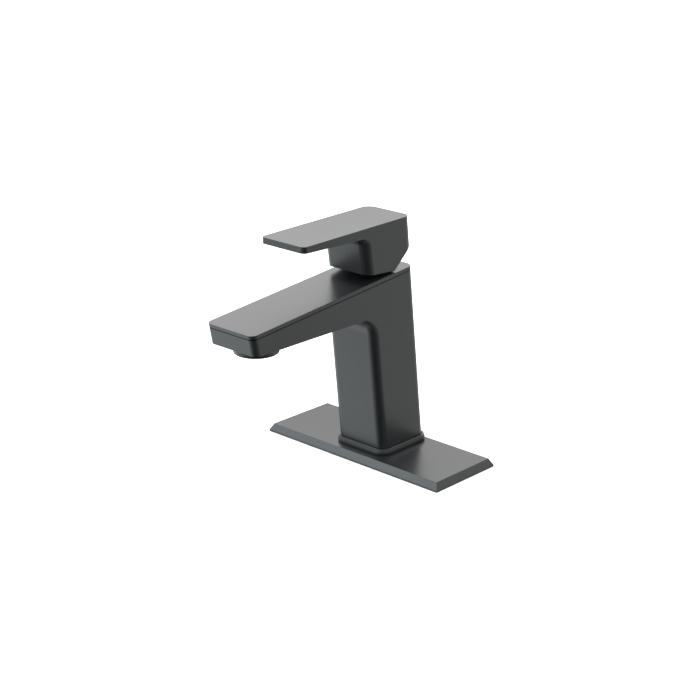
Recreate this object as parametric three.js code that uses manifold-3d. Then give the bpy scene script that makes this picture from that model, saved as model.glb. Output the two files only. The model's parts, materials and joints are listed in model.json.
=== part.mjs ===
// Single-lever basin mixer on a rectangular deck plate.
// Millimetres, +Z up, +Y towards the wall. The origin is the centre of the deck plate's underside.
import * as THREE from "three";
import { mergeVertices } from "three/addons/utils/BufferGeometryUtils.js";
import Module from "manifold-3d";

const wasm = await Module();
wasm.setup();

// ---------------------------------------------------------------- driving sizes
const touch = 0.3; // gap kept between pieces that touch
const slip = 0.2; // radial clearance of a piece that goes into a hole
const roundSides = 32; // facets of a large circle
const smallSides = 16; // facets of a small circle
const cornerSides = 5; // facets of a rounded corner

const plate = { length: 160, depth: 61, height: 6, lip: 1.2, bevel: 2.7, wall: 2.2 };
const block = { spigotRadius: 17, height: 18, fit: 0.5, skirt: 0.4 };
const hose = { radius: 5, depth: 12, x: 9, y: 4, passage: 3 };
const stud = { radius: 4, depth: 14, y: -10.5 };
const flange = { lip: 2.3, height: 4.2, cornerExtra: 2.5, bevel: 0.8 };
const seal = { height: 1.8 };

const body = {
  width: 43, // across the column and the spout
  foot: { front: -18.7, back: 26.2 }, // where the column's faces would meet z = 0
  lean: 0.112, // forward run of the column's faces for each unit of height
  corner: 6, // radius of the column's upright corners
  wall: 3.5,
  bulkhead: 5,
};
const spout = {
  underside: 109.3, // height over the deck
  tip: -138.3, // y of the tip's face at the underside
  tipLean: 0.2,
  tipCorner: 4.5,
  throat: 14, // radius between the underside and the column
  floor: 3.2,
};
const top = { rearY: 8.8, rise: 28.5, slope: 0.0945 }; // rise: over the spout's underside, at rearY
const cover = { thickness: 2.7, seam: 0.5, rib: 1.5 };

const aerator = {
  inset: 20.8, // from the tip's face back to the outlet's centre
  bore: 11,
  neckWall: 1.6,
  lip: 2.4, // how far the collar stands out past the neck
  drop: 6.3, // below the spout's underside
  neckHeight: 6.5,
  washer: 1.4,
  screen: 1.2,
  blockWall: 2.5,
  blockTop: 3.6, // thickness over the aerator's bore
};
const outletTube = { radius: 4.2, bore: 3.2, rise: 9 }; // rise: over the spout's underside, at the tip
const supplyTube = { radius: 4, bore: 3, socket: 5 };

// The cartridge stands square to the sloped top. Heights are along its axis, from that top.
const cartridge = {
  behind: 3.18, // from the column's middle back to its axis, at the top
  radius: 12.5,
  wall: 1.7,
  shoulder: -2.3,
  neckTop: 5,
  neckWall: 1.5,
  roof: 1.4,
};
const pivot = { height: 1.5, pinRadius: 1.25, pinShort: 0.6, lift: 25 }; // lift: degrees
const rotor = { top: 6.5, neckRadius: 7.4, flangeTop: -4, flangeHeight: 3 };
const spindle = { side: 6, top: 24, foot: -9, footRadius: 1.9, stemRadius: 1.4, shoulder: -6 };
const disc = { travel: 4.44, carrierHeight: 4.8, movingHeight: 3, fixedHeight: 3.2, portRadius: 2.4 };
const ports = { x: 4.8, y: 3.6, radius: 2.4, outletY: -5, sealRadius: 3.9, sealHeight: 2 };
const base = { height: 4 };
const core = { rim: 1.3, floor: 13, fit: 0.4, nutDepth: 9.3, top: -3.8 };
const nut = { skirt: 1.2, top: 1.2, lip: 3.2 };
const collar = { wall: 2, edge: 2.2, top: 4.3, bevel: 3 };
const ring = { section: 1.2, above: 2.3 }; // above: its height over the housing's lower end

// The handle's depths are from the cartridge's axis, and its heights from where that axis meets the top.
const handle = {
  width: 39.5,
  reach: 84.8, // forward to the lever's tip
  tipCorner: 3.5,
  tipRise: 34.73, // top of the lever at its tip
  topSlope: 0.0165,
  tipThickness: 4.4,
  undersideSlope: -0.0256,
  front: 24.3, // forward to the hub's front at its lower edge
  hubLean: 0.15,
  hubCorner: 6.5,
  hubThroat: 6,
  rear: 20.6, // back to the hub's back face, at the height below
  rearRise: 14.43,
  backCorner: 7,
  heel: 1.8, // back to the lowest edge
  heelGap: 0.85,
  frontRise: 0.065, // rise of the hub's underside towards the front
  chamfer: 0.881, // rise of the rear chamfer for each unit of depth
  cavityFit: 0.5,
  cavityTop: 26,
};
const boss = { side: 14, bottom: 14, back: 10.5 };
const setScrew = { radius: 2.5, length: 6.6, height: 19, socket: 1.25, socketDepth: 2.5 };
const cap = { radius: 3.4, length: 2.6, sink: 0.3 };

// ---------------------------------------------------------------- sizes worked out from them
const halfBody = body.width / 2;
const halfHandle = handle.width / 2;
const columnAt = (face, z) => body.foot[face] - body.lean * z;
const topRear = spout.underside + top.rise;
const topAt = (y) => topRear + top.slope * (y - top.rearY);
const tilt = Math.atan(top.slope);
const axisY = (columnAt("front", topRear) + columnAt("back", topRear)) / 2 + cartridge.behind;
const seatZ = topAt(axisY);
const footZ = plate.height + touch;
const flangeTop = footZ + flange.height;
const shellFoot = footZ + seal.height + touch;
const blockTop = plate.height + block.height;
const housingBore = cartridge.radius - cartridge.wall;
const neckBore = rotor.neckRadius + touch;
const neckRadius = neckBore + cartridge.neckWall;
const coreBore = cartridge.radius + core.fit;
const nutBore = neckRadius + 0.5;
const nutSkirtBore = cartridge.radius + touch;
const nutRadius = nutSkirtBore + nut.skirt;
const coreRadius = nutRadius + slip + core.rim;
const collarRadius = nutRadius + collar.wall;
const cavityRadius = collarRadius + handle.cavityFit;
const aeratorNeck = aerator.bore + aerator.neckWall;
const aeratorRadius = aeratorNeck + aerator.lip;
const outletBlockRadius = aeratorNeck + touch + aerator.blockWall;
const outletY = spout.tip + aerator.inset;
const tipY = axisY - handle.reach;
const tipZ = seatZ + handle.tipRise;
const hubFront = axisY - handle.front;
const hubBack = axisY + handle.rear;
const hubBackZ = seatZ + handle.rearRise;
const heelY = axisY + handle.heel;
const flangeBottom = rotor.flangeTop - rotor.flangeHeight;
const carrierTop = flangeBottom - touch;
const carrierBottom = carrierTop - disc.carrierHeight;
const movingTop = carrierBottom - touch;
const movingBottom = movingTop - disc.movingHeight;
const fixedTop = movingBottom - touch;
const fixedBottom = fixedTop - disc.fixedHeight;
const baseTop = fixedBottom - touch;
const baseBottom = baseTop - base.height;
const ringHeight = fixedBottom + ring.above;
const coreFloor = baseBottom - touch;
const coreBottom = coreFloor - core.floor;
const movingRadius = housingBore - disc.travel / 2 - touch;
const discRest = disc.travel / 2; // the sliding disc starts this far behind the cartridge's axis
const outletZ = spout.underside - aerator.drop;

// ---------------------------------------------------------------- shapes and solids
function solidOf(geometry) {
  const bare = geometry.index ? geometry.toNonIndexed() : geometry.clone();
  bare.deleteAttribute("normal");
  bare.deleteAttribute("uv");
  const merged = mergeVertices(bare, 1e-4);
  return new wasm.Manifold(
    new wasm.Mesh({
      numProp: 3,
      vertProperties: new Float32Array(merged.attributes.position.array),
      triVerts: new Uint32Array(merged.index.array),
    }),
  );
}

function geometryOf(solid) {
  const mesh = solid.getMesh();
  const geometry = new THREE.BufferGeometry();
  geometry.setAttribute("position", new THREE.BufferAttribute(mesh.vertProperties, 3));
  geometry.setIndex(new THREE.BufferAttribute(mesh.triVerts, 1));
  geometry.computeVertexNormals();
  return geometry;
}

const join = (first, ...rest) => rest.reduce((sum, next) => sum.add(next), first);
const cut = (first, ...rest) => rest.reduce((left, next) => left.subtract(next), first);

// A rectangle with round corners, seen from above: the front is towards -Y.
function plan(halfWidth, front, back, frontRadius, backRadius = frontRadius) {
  const shape = new THREE.Shape();
  const quarter = Math.PI / 2;
  shape.absarc(-halfWidth + frontRadius, front + frontRadius, frontRadius, -2 * quarter, -quarter);
  shape.absarc(halfWidth - frontRadius, front + frontRadius, frontRadius, -quarter, 0);
  shape.absarc(halfWidth - backRadius, back - backRadius, backRadius, 0, quarter);
  shape.absarc(-halfWidth + backRadius, back - backRadius, backRadius, quarter, 2 * quarter);
  return shape;
}

function prism(shape, low, high, steps = 1) {
  const options = { depth: high - low, steps, bevelEnabled: false, curveSegments: cornerSides };
  return new THREE.ExtrudeGeometry(shape, options).translate(0, 0, low);
}

// Moves each vertex of a geometry to the place that the function gives it.
function reshape(geometry, place) {
  const points = geometry.attributes.position;
  const vertex = new THREE.Vector3();
  for (let i = 0; i < points.count; i++) {
    vertex.fromBufferAttribute(points, i);
    place(vertex);
    points.setXYZ(i, vertex.x, vertex.y, vertex.z);
  }
  return geometry;
}

function box(x0, x1, y0, y1, z0, z1) {
  const geometry = new THREE.BoxGeometry(x1 - x0, y1 - y0, z1 - z0);
  return geometry.translate((x0 + x1) / 2, (y0 + y1) / 2, (z0 + z1) / 2);
}

function rod(radius, low, high, x = 0, y = 0, sides = smallSides) {
  const geometry = new THREE.CylinderGeometry(radius, radius, high - low, sides);
  return geometry.rotateX(Math.PI / 2).translate(x, y, (low + high) / 2);
}

// Turns a closed outline of [radius, height] pairs round the Z axis.
function turned(outline, sides = roundSides) {
  const points = [...outline, outline[0]].map(([r, z]) => new THREE.Vector2(r, z));
  return new THREE.LatheGeometry(points, sides).rotateX(Math.PI / 2);
}

const tube = (inner, outer, low, high, sides = roundSides) =>
  turned([[inner, low], [outer, low], [outer, high], [inner, high]], sides);

// Extrudes a side outline of [y, z] pairs across the part's width.
function sideways(outline, halfWidth) {
  const shape = new THREE.Shape(outline.map(([y, z]) => new THREE.Vector2(y, z)));
  const geometry = new THREE.ExtrudeGeometry(shape, { depth: 2 * halfWidth, bevelEnabled: false });
  const across = new THREE.Matrix4().makeBasis(
    new THREE.Vector3(0, 1, 0),
    new THREE.Vector3(0, 0, 1),
    new THREE.Vector3(1, 0, 0),
  );
  return geometry.applyMatrix4(across).translate(-halfWidth, 0, 0);
}

// A pipe of round section along a curve.
function pipe(curve, outer, inner, steps) {
  const section = new THREE.Shape().absarc(0, 0, outer, 0, 2 * Math.PI);
  section.holes.push(new THREE.Path().absarc(0, 0, inner, 0, 2 * Math.PI));
  const options = { extrudePath: curve, steps, curveSegments: 6, bevelEnabled: false };
  return new THREE.ExtrudeGeometry(section, options);
}

// Moves a geometry from the cartridge's own frame to the part's frame.
const seated = (geometry) => geometry.rotateX(tilt).translate(0, axisY, seatZ);
const seatedPoint = (x, y, z) =>
  new THREE.Vector3(x, y, z).applyAxisAngle(new THREE.Vector3(1, 0, 0), tilt)
    .add(new THREE.Vector3(0, axisY, seatZ));

// ---------------------------------------------------------------- deck plate and foot
function taperedSlab(length, depth, low, high, inset) {
  return reshape(box(-length / 2, length / 2, -depth / 2, depth / 2, low, high), (v) => {
    if (v.z < (low + high) / 2) return;
    v.x -= Math.sign(v.x) * inset;
    v.y -= Math.sign(v.y) * inset;
  });
}

function deckPlate() {
  const { length, depth, height, lip, bevel, wall } = plate;
  const rim = solidOf(box(-length / 2, length / 2, -depth / 2, depth / 2, 0, lip));
  const slope = solidOf(taperedSlab(length, depth, lip, height, bevel));
  const inside = { x: length / 2 - wall, y: depth / 2 - wall };
  const mouth = solidOf(box(-inside.x, inside.x, -inside.y, inside.y, -1, touch));
  const slant = solidOf(taperedSlab(2 * inside.x, 2 * inside.y, 0, height - wall, bevel));
  const hole = solidOf(rod(block.spigotRadius + block.skirt, -1, height + 1, 0, 0, roundSides));
  return cut(join(rim, slope), join(mouth, slant), hole);
}

function deckPlateGasket() {
  const { length, depth, height, wall, bevel } = plate;
  const inset = wall + touch;
  const pad = taperedSlab(length - 2 * inset, depth - 2 * inset, 0, height - wall - touch, bevel);
  const hole = rod(block.spigotRadius + block.skirt, -1, height, 0, 0, roundSides);
  return cut(solidOf(pad), solidOf(hole));
}

// The column's section, grown or shrunk by an offset, between two heights, leaning as the column does.
function columnPrism(offset, low, high) {
  const radius = Math.max(body.corner + offset, 1);
  const shape = plan(halfBody + offset, body.foot.front - offset, body.foot.back + offset, radius);
  return reshape(prism(shape, low, high), (v) => {
    v.y -= body.lean * v.z;
  });
}

function baseFlange() {
  const reach = flange.lip;
  const shape = plan(
    halfBody + reach - flange.bevel,
    columnAt("front", footZ) - reach + flange.bevel,
    columnAt("back", footZ) + reach - flange.bevel,
    body.corner + flange.cornerExtra - flange.bevel,
  );
  const outer = new THREE.ExtrudeGeometry(shape, {
    depth: flange.height - flange.bevel,
    curveSegments: cornerSides,
    bevelThickness: flange.bevel,
    bevelSize: flange.bevel,
    bevelSegments: 1,
  }).translate(0, 0, footZ);
  const underCut = box(-99, 99, -99, 99, footZ - 9, footZ);
  return cut(solidOf(outer), solidOf(underCut), solidOf(columnPrism(touch, 0, flangeTop + 5)));
}

function baseSeal() {
  const ringOuter = solidOf(columnPrism(0, footZ, footZ + seal.height));
  return cut(ringOuter, solidOf(columnPrism(-body.wall, 0, shellFoot)));
}

function baseBlock() {
  const inside = -body.wall - block.fit;
  const spigot = solidOf(rod(block.spigotRadius, 0, plate.height, 0, 0, roundSides));
  const stem = solidOf(rod(block.spigotRadius, 0, footZ + 1, 0, 0, roundSides));
  const neck = stem.intersect(solidOf(columnPrism(inside, 0, footZ + 2)));
  const tower = solidOf(columnPrism(inside, footZ, blockTop));
  const holes = [solidOf(rod(stud.radius, -1, stud.depth, 0, stud.y))];
  for (const side of [-1, 1]) {
    const x = side * hose.x;
    holes.push(solidOf(rod(hose.radius, -1, hose.depth, x, hose.y)));
    holes.push(solidOf(rod(hose.passage, 0, blockTop + 1, x, hose.y)));
    holes.push(solidOf(rod(supplyTube.radius + slip, blockTop - supplyTube.socket, blockTop + 1, x, hose.y)));
  }
  return cut(join(spigot, neck, tower), ...holes);
}

// ---------------------------------------------------------------- body and cover
// The full outline of the spout and the column's head, from the underside up.
function headEnvelope(offset = 0, low = spout.underside) {
  const front = spout.tip - offset;
  const shape = plan(halfBody + offset, front, body.foot.back + offset, spout.tipCorner, body.corner);
  const middle = (spout.tip + body.foot.back) / 2;
  return reshape(prism(shape, low, topRear + 20), (v) => {
    if (v.y < middle) v.y -= spout.tipLean * (v.z - spout.underside);
    else v.y -= body.lean * v.z;
  });
}

// Everything below the sloped top, or below a plane under it.
function belowTop(depth) {
  const far = 400;
  return seated(box(-far, far, -far, far, -far, -depth));
}

function throat() {
  const arc = Math.PI / 2;
  const radius = spout.throat;
  const shape = plan(halfBody, body.foot.front, body.foot.back, body.corner);
  const middle = (body.foot.front + body.foot.back) / 2;
  return reshape(prism(shape, 0, 1, 10), (v) => {
    const turn = v.z * arc;
    v.z = spout.underside + slip - radius * (1 - Math.sin(turn));
    if (v.y < middle) v.y -= radius * (1 - Math.cos(turn));
    v.y -= body.lean * v.z;
  });
}

function spoutTrough(offset, low, high) {
  const inner = halfBody - body.wall - offset;
  const front = spout.tip + body.wall + offset;
  const back = columnAt("front", spout.underside) + 2 * body.wall;
  return prism(plan(inner, front, back, 2), low, high);
}

function bodyShell() {
  const column = solidOf(columnPrism(0, shellFoot, spout.underside + 1));
  const head = solidOf(headEnvelope()).intersect(solidOf(belowTop(cover.thickness + cover.seam)));
  const seatFloor = coreBottom - touch;
  const lowerRoom = columnPrism(-body.wall, 0, seatedPoint(0, 0, seatFloor).z - body.bulkhead);
  const upperRoom = solidOf(columnPrism(-body.wall, shellFoot, topRear + 20));
  const aboveSeat = solidOf(seated(box(-99, 99, -99, 99, seatFloor, 99)));
  const throughHole = seated(rod(coreRadius - 3, seatFloor - 20, seatFloor + 1, 0, 0, roundSides));
  const coreRoom = seated(rod(coreRadius + touch, seatFloor, 99, 0, 0, roundSides));
  const floorZ = spout.underside + spout.floor;
  const trough = spoutTrough(0, floorZ, topRear + 20);
  const blockRoom = rod(outletBlockRadius + touch, floorZ, topRear + 20, 0, outletY, roundSides);
  const outlet = rod(aeratorNeck + touch, outletZ, spout.underside + 9, 0, outletY, roundSides);
  return cut(
    join(column, head, solidOf(throat())),
    solidOf(lowerRoom),
    upperRoom.intersect(aboveSeat),
    solidOf(throughHole),
    solidOf(coreRoom),
    solidOf(trough),
    solidOf(blockRoom),
    solidOf(outlet),
  );
}

function spoutCover() {
  const { thickness, rib } = cover;
  const slab = solidOf(headEnvelope()).intersect(solidOf(belowTop(0)));
  const lid = cut(slab, solidOf(belowTop(thickness)));
  const ribBand = solidOf(spoutTrough(touch, spout.underside, topRear))
    .intersect(solidOf(belowTop(thickness - 0.1)));
  const hanging = cut(ribBand, solidOf(belowTop(thickness + rib)));
  const hole = seated(rod(nutRadius + touch, -40, 20, 0, 0, roundSides));
  const roomForCore = seated(rod(coreRadius + touch, -40, -thickness, 0, 0, roundSides));
  return cut(join(lid, cut(hanging, solidOf(roomForCore))), solidOf(hole));
}

// ---------------------------------------------------------------- water way
function supplyTubeAt(side) {
  const low = new THREE.Vector3(side * hose.x, hose.y, blockTop - supplyTube.socket + touch);
  const high = seatedPoint(side * ports.x, ports.y, coreBottom + supplyTube.socket - touch);
  const pull = (high.z - low.z) / 3;
  const up = new THREE.Vector3(0, 0, pull);
  const along = new THREE.Vector3(0, -Math.sin(tilt), Math.cos(tilt)).multiplyScalar(pull);
  const curve = new THREE.CubicBezierCurve3(low, low.clone().add(up), high.clone().sub(along), high);
  return solidOf(pipe(curve, supplyTube.radius, supplyTube.bore, 12));
}

const outletStart = seatedPoint(0, -coreRadius, (coreFloor + core.top) / 2 - 2);
const outletEnd = new THREE.Vector3(
  0,
  outletY + outletBlockRadius,
  spout.underside + outletTube.rise,
);

function outletWay() {
  const start = outletStart.clone().add(new THREE.Vector3(0, -2 * touch, 0));
  const end = outletEnd.clone().add(new THREE.Vector3(0, touch, 0));
  return solidOf(pipe(new THREE.LineCurve3(start, end), outletTube.radius, outletTube.bore, 6));
}

function valveCore() {
  const cup = turned([
    [0, coreBottom],
    [coreRadius, coreBottom],
    [coreRadius, core.top],
    [nutRadius + slip, core.top],
    [nutRadius + slip, -core.nutDepth],
    [coreBore, -core.nutDepth],
    [coreBore, coreFloor],
    [0, coreFloor],
  ]);
  const port = rod(outletTube.bore, -coreRadius - 2, 2, 0, 0)
    .rotateX(-Math.PI / 2)
    .translate(0, -coreRadius, (coreFloor + core.top) / 2 - 2);
  const holes = [solidOf(port)];
  for (const side of [-1, 1]) {
    const x = side * ports.x;
    holes.push(solidOf(rod(ports.radius, coreBottom - 1, coreFloor + 1, x, ports.y)));
    const socketTop = coreBottom + supplyTube.socket;
    holes.push(solidOf(rod(supplyTube.radius + slip, coreBottom - 1, socketTop, x, ports.y)));
  }
  return cut(solidOf(cup), ...holes);
}

function outletBlock() {
  const low = spout.underside + spout.floor + touch;
  const boreTop = spout.underside + aerator.neckHeight + aerator.washer + 2 * touch;
  const high = boreTop + aerator.blockTop;
  const cup = tube(aeratorNeck + touch, outletBlockRadius, low, high);
  const roof = rod(outletBlockRadius, boreTop, high, 0, 0, roundSides);
  const inlet = rod(outletTube.bore, 0, outletBlockRadius + 2)
    .rotateX(-Math.PI / 2)
    .translate(0, 0, outletEnd.z);
  const down = rod(aerator.bore - 3, low, outletEnd.z, 0, 0);
  const trimmed = belowTop(cover.thickness + cover.rib + touch).translate(0, -outletY, 0);
  const solid = cut(join(solidOf(cup), solidOf(roof)), solidOf(inlet), solidOf(down));
  return solid.intersect(solidOf(trimmed));
}

// ---------------------------------------------------------------- aerator, standing on its own outlet plane
const neckTop = aerator.drop + aerator.neckHeight;

function aeratorHousing() {
  const flat = aerator.drop - touch;
  return solidOf(
    turned([
      [aerator.bore, 0.6],
      [aerator.bore + 0.6, 0],
      [aeratorRadius - 0.6, 0],
      [aeratorRadius, 0.6],
      [aeratorRadius, flat],
      [aeratorNeck, flat],
      [aeratorNeck, neckTop],
      [aerator.bore, neckTop],
      [aerator.bore, aerator.screen + 1],
      [aerator.bore - 1, aerator.screen + 1],
      [aerator.bore - 1, 0.6],
    ]),
  );
}

function aeratorScreen() {
  const disc = rod(aerator.bore - 1 - slip, 0.4, 0.4 + aerator.screen, 0, 0, roundSides);
  const holes = [];
  for (const [radius, count] of [[3, 6], [6, 12]]) {
    for (let i = 0; i < count; i++) {
      const turn = (2 * Math.PI * i) / count;
      holes.push(solidOf(rod(0.9, -1, 4, radius * Math.cos(turn), radius * Math.sin(turn), 8)));
    }
  }
  return cut(solidOf(disc), ...holes);
}

function aeratorInsert() {
  const low = aerator.screen + 1 + touch;
  const high = neckTop - 1;
  const shell = tube(aerator.bore - 2.2, aerator.bore - slip, low, high);
  const web = solidOf(box(-aerator.bore + 1, aerator.bore - 1, -0.7, 0.7, low, high));
  const cross = solidOf(box(-0.7, 0.7, -aerator.bore + 1, aerator.bore - 1, low, high));
  return join(solidOf(shell), web, cross);
}

const aeratorWasher = () =>
  solidOf(tube(aerator.bore - 1, aeratorNeck, neckTop + touch, neckTop + touch + aerator.washer));

// ---------------------------------------------------------------- cartridge, in its own frame
function cartridgeHousing() {
  const { radius, shoulder, neckTop: high, roof } = cartridge;
  const low = fixedBottom;
  const grooveLow = ringHeight - ring.section / 2;
  const grooveHigh = ringHeight + ring.section / 2;
  const grooveRadius = radius - ring.section + slip;
  return solidOf(
    turned([
      [housingBore, low],
      [radius, low],
      [radius, grooveLow],
      [grooveRadius, grooveLow],
      [grooveRadius, grooveHigh],
      [radius, grooveHigh],
      [radius, shoulder],
      [neckRadius, shoulder],
      [neckRadius, high],
      [neckBore, high],
      [neckBore, shoulder - roof],
      [housingBore, shoulder - roof],
    ]),
  );
}

function housingRing() {
  const inner = cartridge.radius - ring.section + slip + 0.1;
  const half = ring.section / 2 - 0.15;
  return solidOf(tube(inner, coreBore - 0.1, ringHeight - half, ringHeight + half));
}

function cartridgeBase() {
  const plug = solidOf(rod(cartridge.radius, baseBottom, baseTop, 0, 0, roundSides));
  const window = box(-ports.radius, ports.radius, -cartridge.radius - 1, ports.outletY, -99, baseTop - 1);
  const well = rod(ports.radius, baseBottom + 1, baseTop + 1, 0, ports.outletY);
  const room = solidOf(window).intersect(solidOf(box(-99, 99, -99, 99, baseBottom + 1, baseTop)));
  const holes = [room, solidOf(well)];
  for (const side of [-1, 1]) {
    const x = side * ports.x;
    holes.push(solidOf(rod(ports.radius, baseBottom - 1, baseTop + 1, x, ports.y)));
    const pocketTop = baseBottom + ports.sealHeight - touch;
    holes.push(solidOf(rod(ports.sealRadius + slip, baseBottom - 1, pocketTop, x, ports.y)));
  }
  return cut(plug, ...holes);
}

const inletSeal = (side) =>
  solidOf(
    tube(ports.radius, ports.sealRadius, baseBottom - slip, baseBottom + ports.sealHeight - 2 * touch, smallSides)
      .translate(side * ports.x, ports.y, 0),
  );

function fixedDisc() {
  const plateSolid = solidOf(rod(housingBore - slip, fixedBottom + slip, fixedTop, 0, 0, roundSides));
  const holes = [solidOf(rod(disc.portRadius, -99, 0, 0, ports.outletY))];
  for (const side of [-1, 1]) {
    holes.push(solidOf(rod(disc.portRadius, -99, 0, side * ports.x, ports.y)));
  }
  return cut(plateSolid, ...holes);
}

// The moving disc and its carrier stand at the rear end of their travel when the tap is closed.
function movingDisc() {
  const plateSolid = solidOf(rod(movingRadius, movingBottom, movingTop, 0, discRest, roundSides));
  const pocket = box(-ports.x, ports.x, -4.5, 0.5, movingBottom - 1, movingBottom + disc.movingHeight / 2);
  return cut(plateSolid, solidOf(pocket.translate(0, discRest, 0)));
}

function discCarrier() {
  const plateSolid = solidOf(rod(movingRadius, carrierBottom, carrierTop, 0, discRest, roundSides));
  const half = spindle.footRadius + touch;
  const floor = spindle.foot - spindle.footRadius - touch;
  return cut(plateSolid, solidOf(box(-half, half, -half, half, floor, carrierTop + 1)));
}

function spindleGuide() {
  const flangeRadius = housingBore - slip;
  const sleeve = solidOf(rod(rotor.neckRadius, rotor.flangeTop - 1, rotor.top, 0, 0, roundSides));
  const foot = solidOf(rod(flangeRadius, flangeBottom, rotor.flangeTop, 0, 0, roundSides));
  const half = spindle.side / 2 + touch;
  const lift = THREE.MathUtils.degToRad(pivot.lift);
  const leanBack = (rotor.top - pivot.height) * Math.tan(lift) + half / Math.cos(lift);
  const leanFront = (pivot.height - flangeBottom) * Math.tan(lift) + half * Math.cos(lift);
  const upper = box(-half, half, -half, leanBack, pivot.height - half, rotor.top + 1);
  const lower = box(-half, half, -leanFront, half, flangeBottom - 1, pivot.height + half);
  const pinHole = rod(pivot.pinRadius + 0.05, -rotor.neckRadius - 1, rotor.neckRadius + 1)
    .rotateY(Math.PI / 2)
    .translate(0, 0, pivot.height);
  return cut(join(sleeve, foot), solidOf(upper), solidOf(lower), solidOf(pinHole));
}

function pivotPin() {
  const half = rotor.neckRadius - pivot.pinShort;
  const pin = rod(pivot.pinRadius, -half, half).rotateY(Math.PI / 2);
  return solidOf(pin.translate(0, 0, pivot.height));
}

function leverSpindle() {
  const half = spindle.side / 2;
  const bar = solidOf(box(-half, half, -half, half, spindle.shoulder, spindle.top));
  const stem = solidOf(rod(spindle.stemRadius, spindle.foot, spindle.shoulder + 1));
  const ball = new THREE.SphereGeometry(spindle.footRadius, 16, 10).translate(0, 0, spindle.foot);
  const pinHole = rod(pivot.pinRadius + 0.05, -half - 1, half + 1).rotateY(Math.PI / 2);
  return cut(join(bar, stem, solidOf(ball)), solidOf(pinHole.translate(0, 0, pivot.height)));
}

function retainingNut() {
  const { top: high, lip } = nut;
  const low = -core.nutDepth + touch;
  return solidOf(
    turned([
      [nutSkirtBore, low],
      [nutRadius, low],
      [nutRadius, high],
      [nutBore, high],
      [nutBore, high - lip],
      [nutSkirtBore, high - lip],
    ]),
  );
}

function trimCollar() {
  const inner = nutRadius + 2 * touch;
  const ceiling = nut.top + touch;
  return solidOf(
    turned([
      [inner, touch],
      [collarRadius, touch],
      [collarRadius, collar.edge],
      [collarRadius - collar.bevel, collar.top],
      [neckRadius + touch, collar.top],
      [neckRadius + touch, ceiling],
      [inner, ceiling],
    ]),
  );
}

// ---------------------------------------------------------------- handle
const leverTop = (y) => tipZ + handle.topSlope * (y - tipY);
const leverUnder = (y) => tipZ - handle.tipThickness + handle.undersideSlope * (y - tipY);
const heelZ = topAt(heelY) + handle.heelGap;

// The hub's section between two heights, with its own leans at the front and the back.
function hubPrism(shape, low, high, steps, shift) {
  const middle = (hubFront + hubBack) / 2;
  return reshape(prism(shape, low, high, steps), (v) => {
    const rear = v.y > middle;
    if (shift) shift(v, rear);
    v.y -= rear ? body.lean * (v.z - hubBackZ) : handle.hubLean * (v.z - heelZ);
  });
}

function handleOuter() {
  const hubPlan = plan(halfHandle, hubFront, hubBack, handle.hubCorner, handle.backCorner);
  const lowest = heelZ - 1;
  const highest = tipZ + 10;
  const hub = solidOf(hubPrism(hubPlan, lowest, highest, 1));
  const roofZ = leverUnder(hubFront) + slip;
  const flare = solidOf(
    hubPrism(hubPlan, 0, 1, 8, (v, rear) => {
      const turn = (v.z * Math.PI) / 2;
      v.z = roofZ - handle.hubThroat * (1 - Math.sin(turn));
      if (!rear) v.y -= handle.hubThroat * (1 - Math.cos(turn));
    }),
  );
  const leverPlan = plan(halfHandle, tipY, 0, handle.tipCorner, 1);
  const slab = solidOf(prism(leverPlan, leverUnder(0) - 9, highest));
  const under = solidOf(
    sideways(
      [
        [tipY - 9, leverUnder(tipY - 9)],
        [9, leverUnder(9)],
        [9, highest],
        [tipY - 9, highest],
      ],
      halfHandle + 1,
    ),
  );
  const frontZ = heelZ - handle.frontRise * (hubFront - heelY);
  const rearEnd = heelY + 30;
  const limits = solidOf(
    sideways(
      [
        [tipY - 9, frontZ + handle.frontRise * (hubFront - tipY + 9)],
        [heelY, heelZ],
        [rearEnd, heelZ + handle.chamfer * (rearEnd - heelY)],
        [rearEnd, leverTop(rearEnd)],
        [tipY - 9, leverTop(tipY - 9)],
      ],
      halfHandle + 1,
    ),
  );
  return join(hub, flare, slab.intersect(under)).intersect(limits);
}

const screwEnd = spindle.side / 2 + touch + setScrew.length;

function leverHandle() {
  const room = seated(rod(cavityRadius, -20, handle.cavityTop, 0, 0, roundSides));
  const half = boss.side / 2;
  const post = solidOf(seated(box(-half, half, -half, boss.back, boss.bottom, handle.cavityTop + 1)));
  const hole = spindle.side / 2 + slip;
  const socket = seated(box(-hole, hole, -hole, hole, boss.bottom - 1, spindle.top + 0.5));
  const thread = seated(rod(setScrew.radius + slip, -30, 0).rotateX(Math.PI / 2)
    .translate(0, 0, setScrew.height));
  const plugHole = seated(rod(cap.radius + slip, -30, -cavityRadius + 3).rotateX(Math.PI / 2)
    .translate(0, 0, setScrew.height));
  const outer = handleOuter();
  const hollow = cut(outer, cut(solidOf(room), post));
  return cut(hollow, solidOf(socket), solidOf(thread), solidOf(plugHole));
}

function handleSetScrew() {
  const near = spindle.side / 2 + touch;
  const screw = rod(setScrew.radius, -screwEnd, -near).rotateX(Math.PI / 2);
  const drive = rod(setScrew.socket, -screwEnd - 1, -screwEnd + setScrew.socketDepth, 0, 0, 6);
  return cut(solidOf(screw), solidOf(drive.rotateX(Math.PI / 2))).translate(0, 0, setScrew.height);
}

// How far the hub's back face is behind the cartridge's axis, at a height along that axis.
function backFaceAt(height) {
  const axisPoint = seatedPoint(0, 0, height);
  const gap = hubBack - body.lean * (axisPoint.z - hubBackZ) - axisPoint.y;
  return gap / (Math.cos(tilt) + body.lean * Math.sin(tilt));
}

function screwCap() {
  const face = backFaceAt(setScrew.height) - cap.sink;
  const plug = rod(cap.radius, -face, -face + cap.length).rotateX(Math.PI / 2);
  return solidOf(plug.translate(0, 0, setScrew.height));
}

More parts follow.
